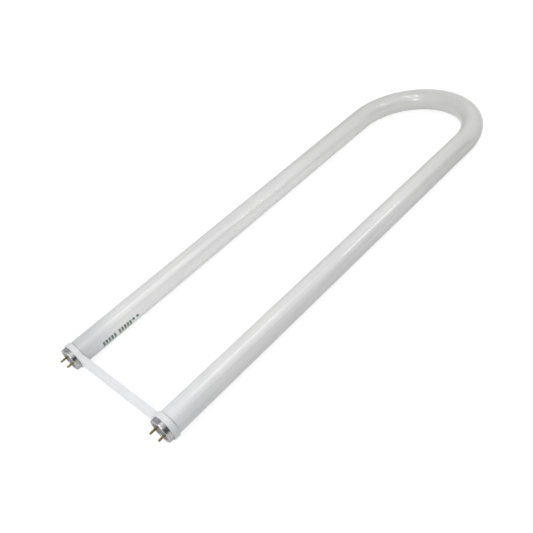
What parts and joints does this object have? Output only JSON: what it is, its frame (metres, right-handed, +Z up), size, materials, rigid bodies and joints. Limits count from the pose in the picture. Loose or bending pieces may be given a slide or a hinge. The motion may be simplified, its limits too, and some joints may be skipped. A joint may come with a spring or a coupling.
{
  "type": "u shaped fluorescent lamp",
  "caption": "White fluorescent tube bent into a U, with a bi-pin metal cap on each end and a white spacer brace between the ends.",
  "frame": {"origin": "bottom centre of the lamp's bounding box, under the middle of the U as it lies flat", "axes": "+X across the two legs, +Y along the legs from the caps to the bend, +Z up"},
  "size_m": [0.181, 0.5784, 0.0286],
  "materials": {
    "white_glass": "satin white, coated inside",
    "cap_metal": "bright drawn",
    "disc_plastic": "moulded",
    "pin_brass": "bright",
    "lead_metal": "drawn wire",
    "cement": "baked cement",
    "brace_plastic": "moulded, satin"
  },
  "bodies": {
    "root": {"glass_tube": "white_glass", "spacer_brace": "brace_plastic", "left_cap_shell": "cap_metal", "left_insulator": "disc_plastic", "left_cement": "cement", "left_outer_pin": "pin_brass", "left_outer_lead": "lead_metal", "left_inner_pin": "pin_brass", "left_inner_lead": "lead_metal", "right_cap_shell": "cap_metal", "right_insulator": "disc_plastic", "right_cement": "cement", "right_outer_pin": "pin_brass", "right_outer_lead": "lead_metal", "right_inner_pin": "pin_brass", "right_inner_lead": "lead_metal"}
  },
  "joints": []
}
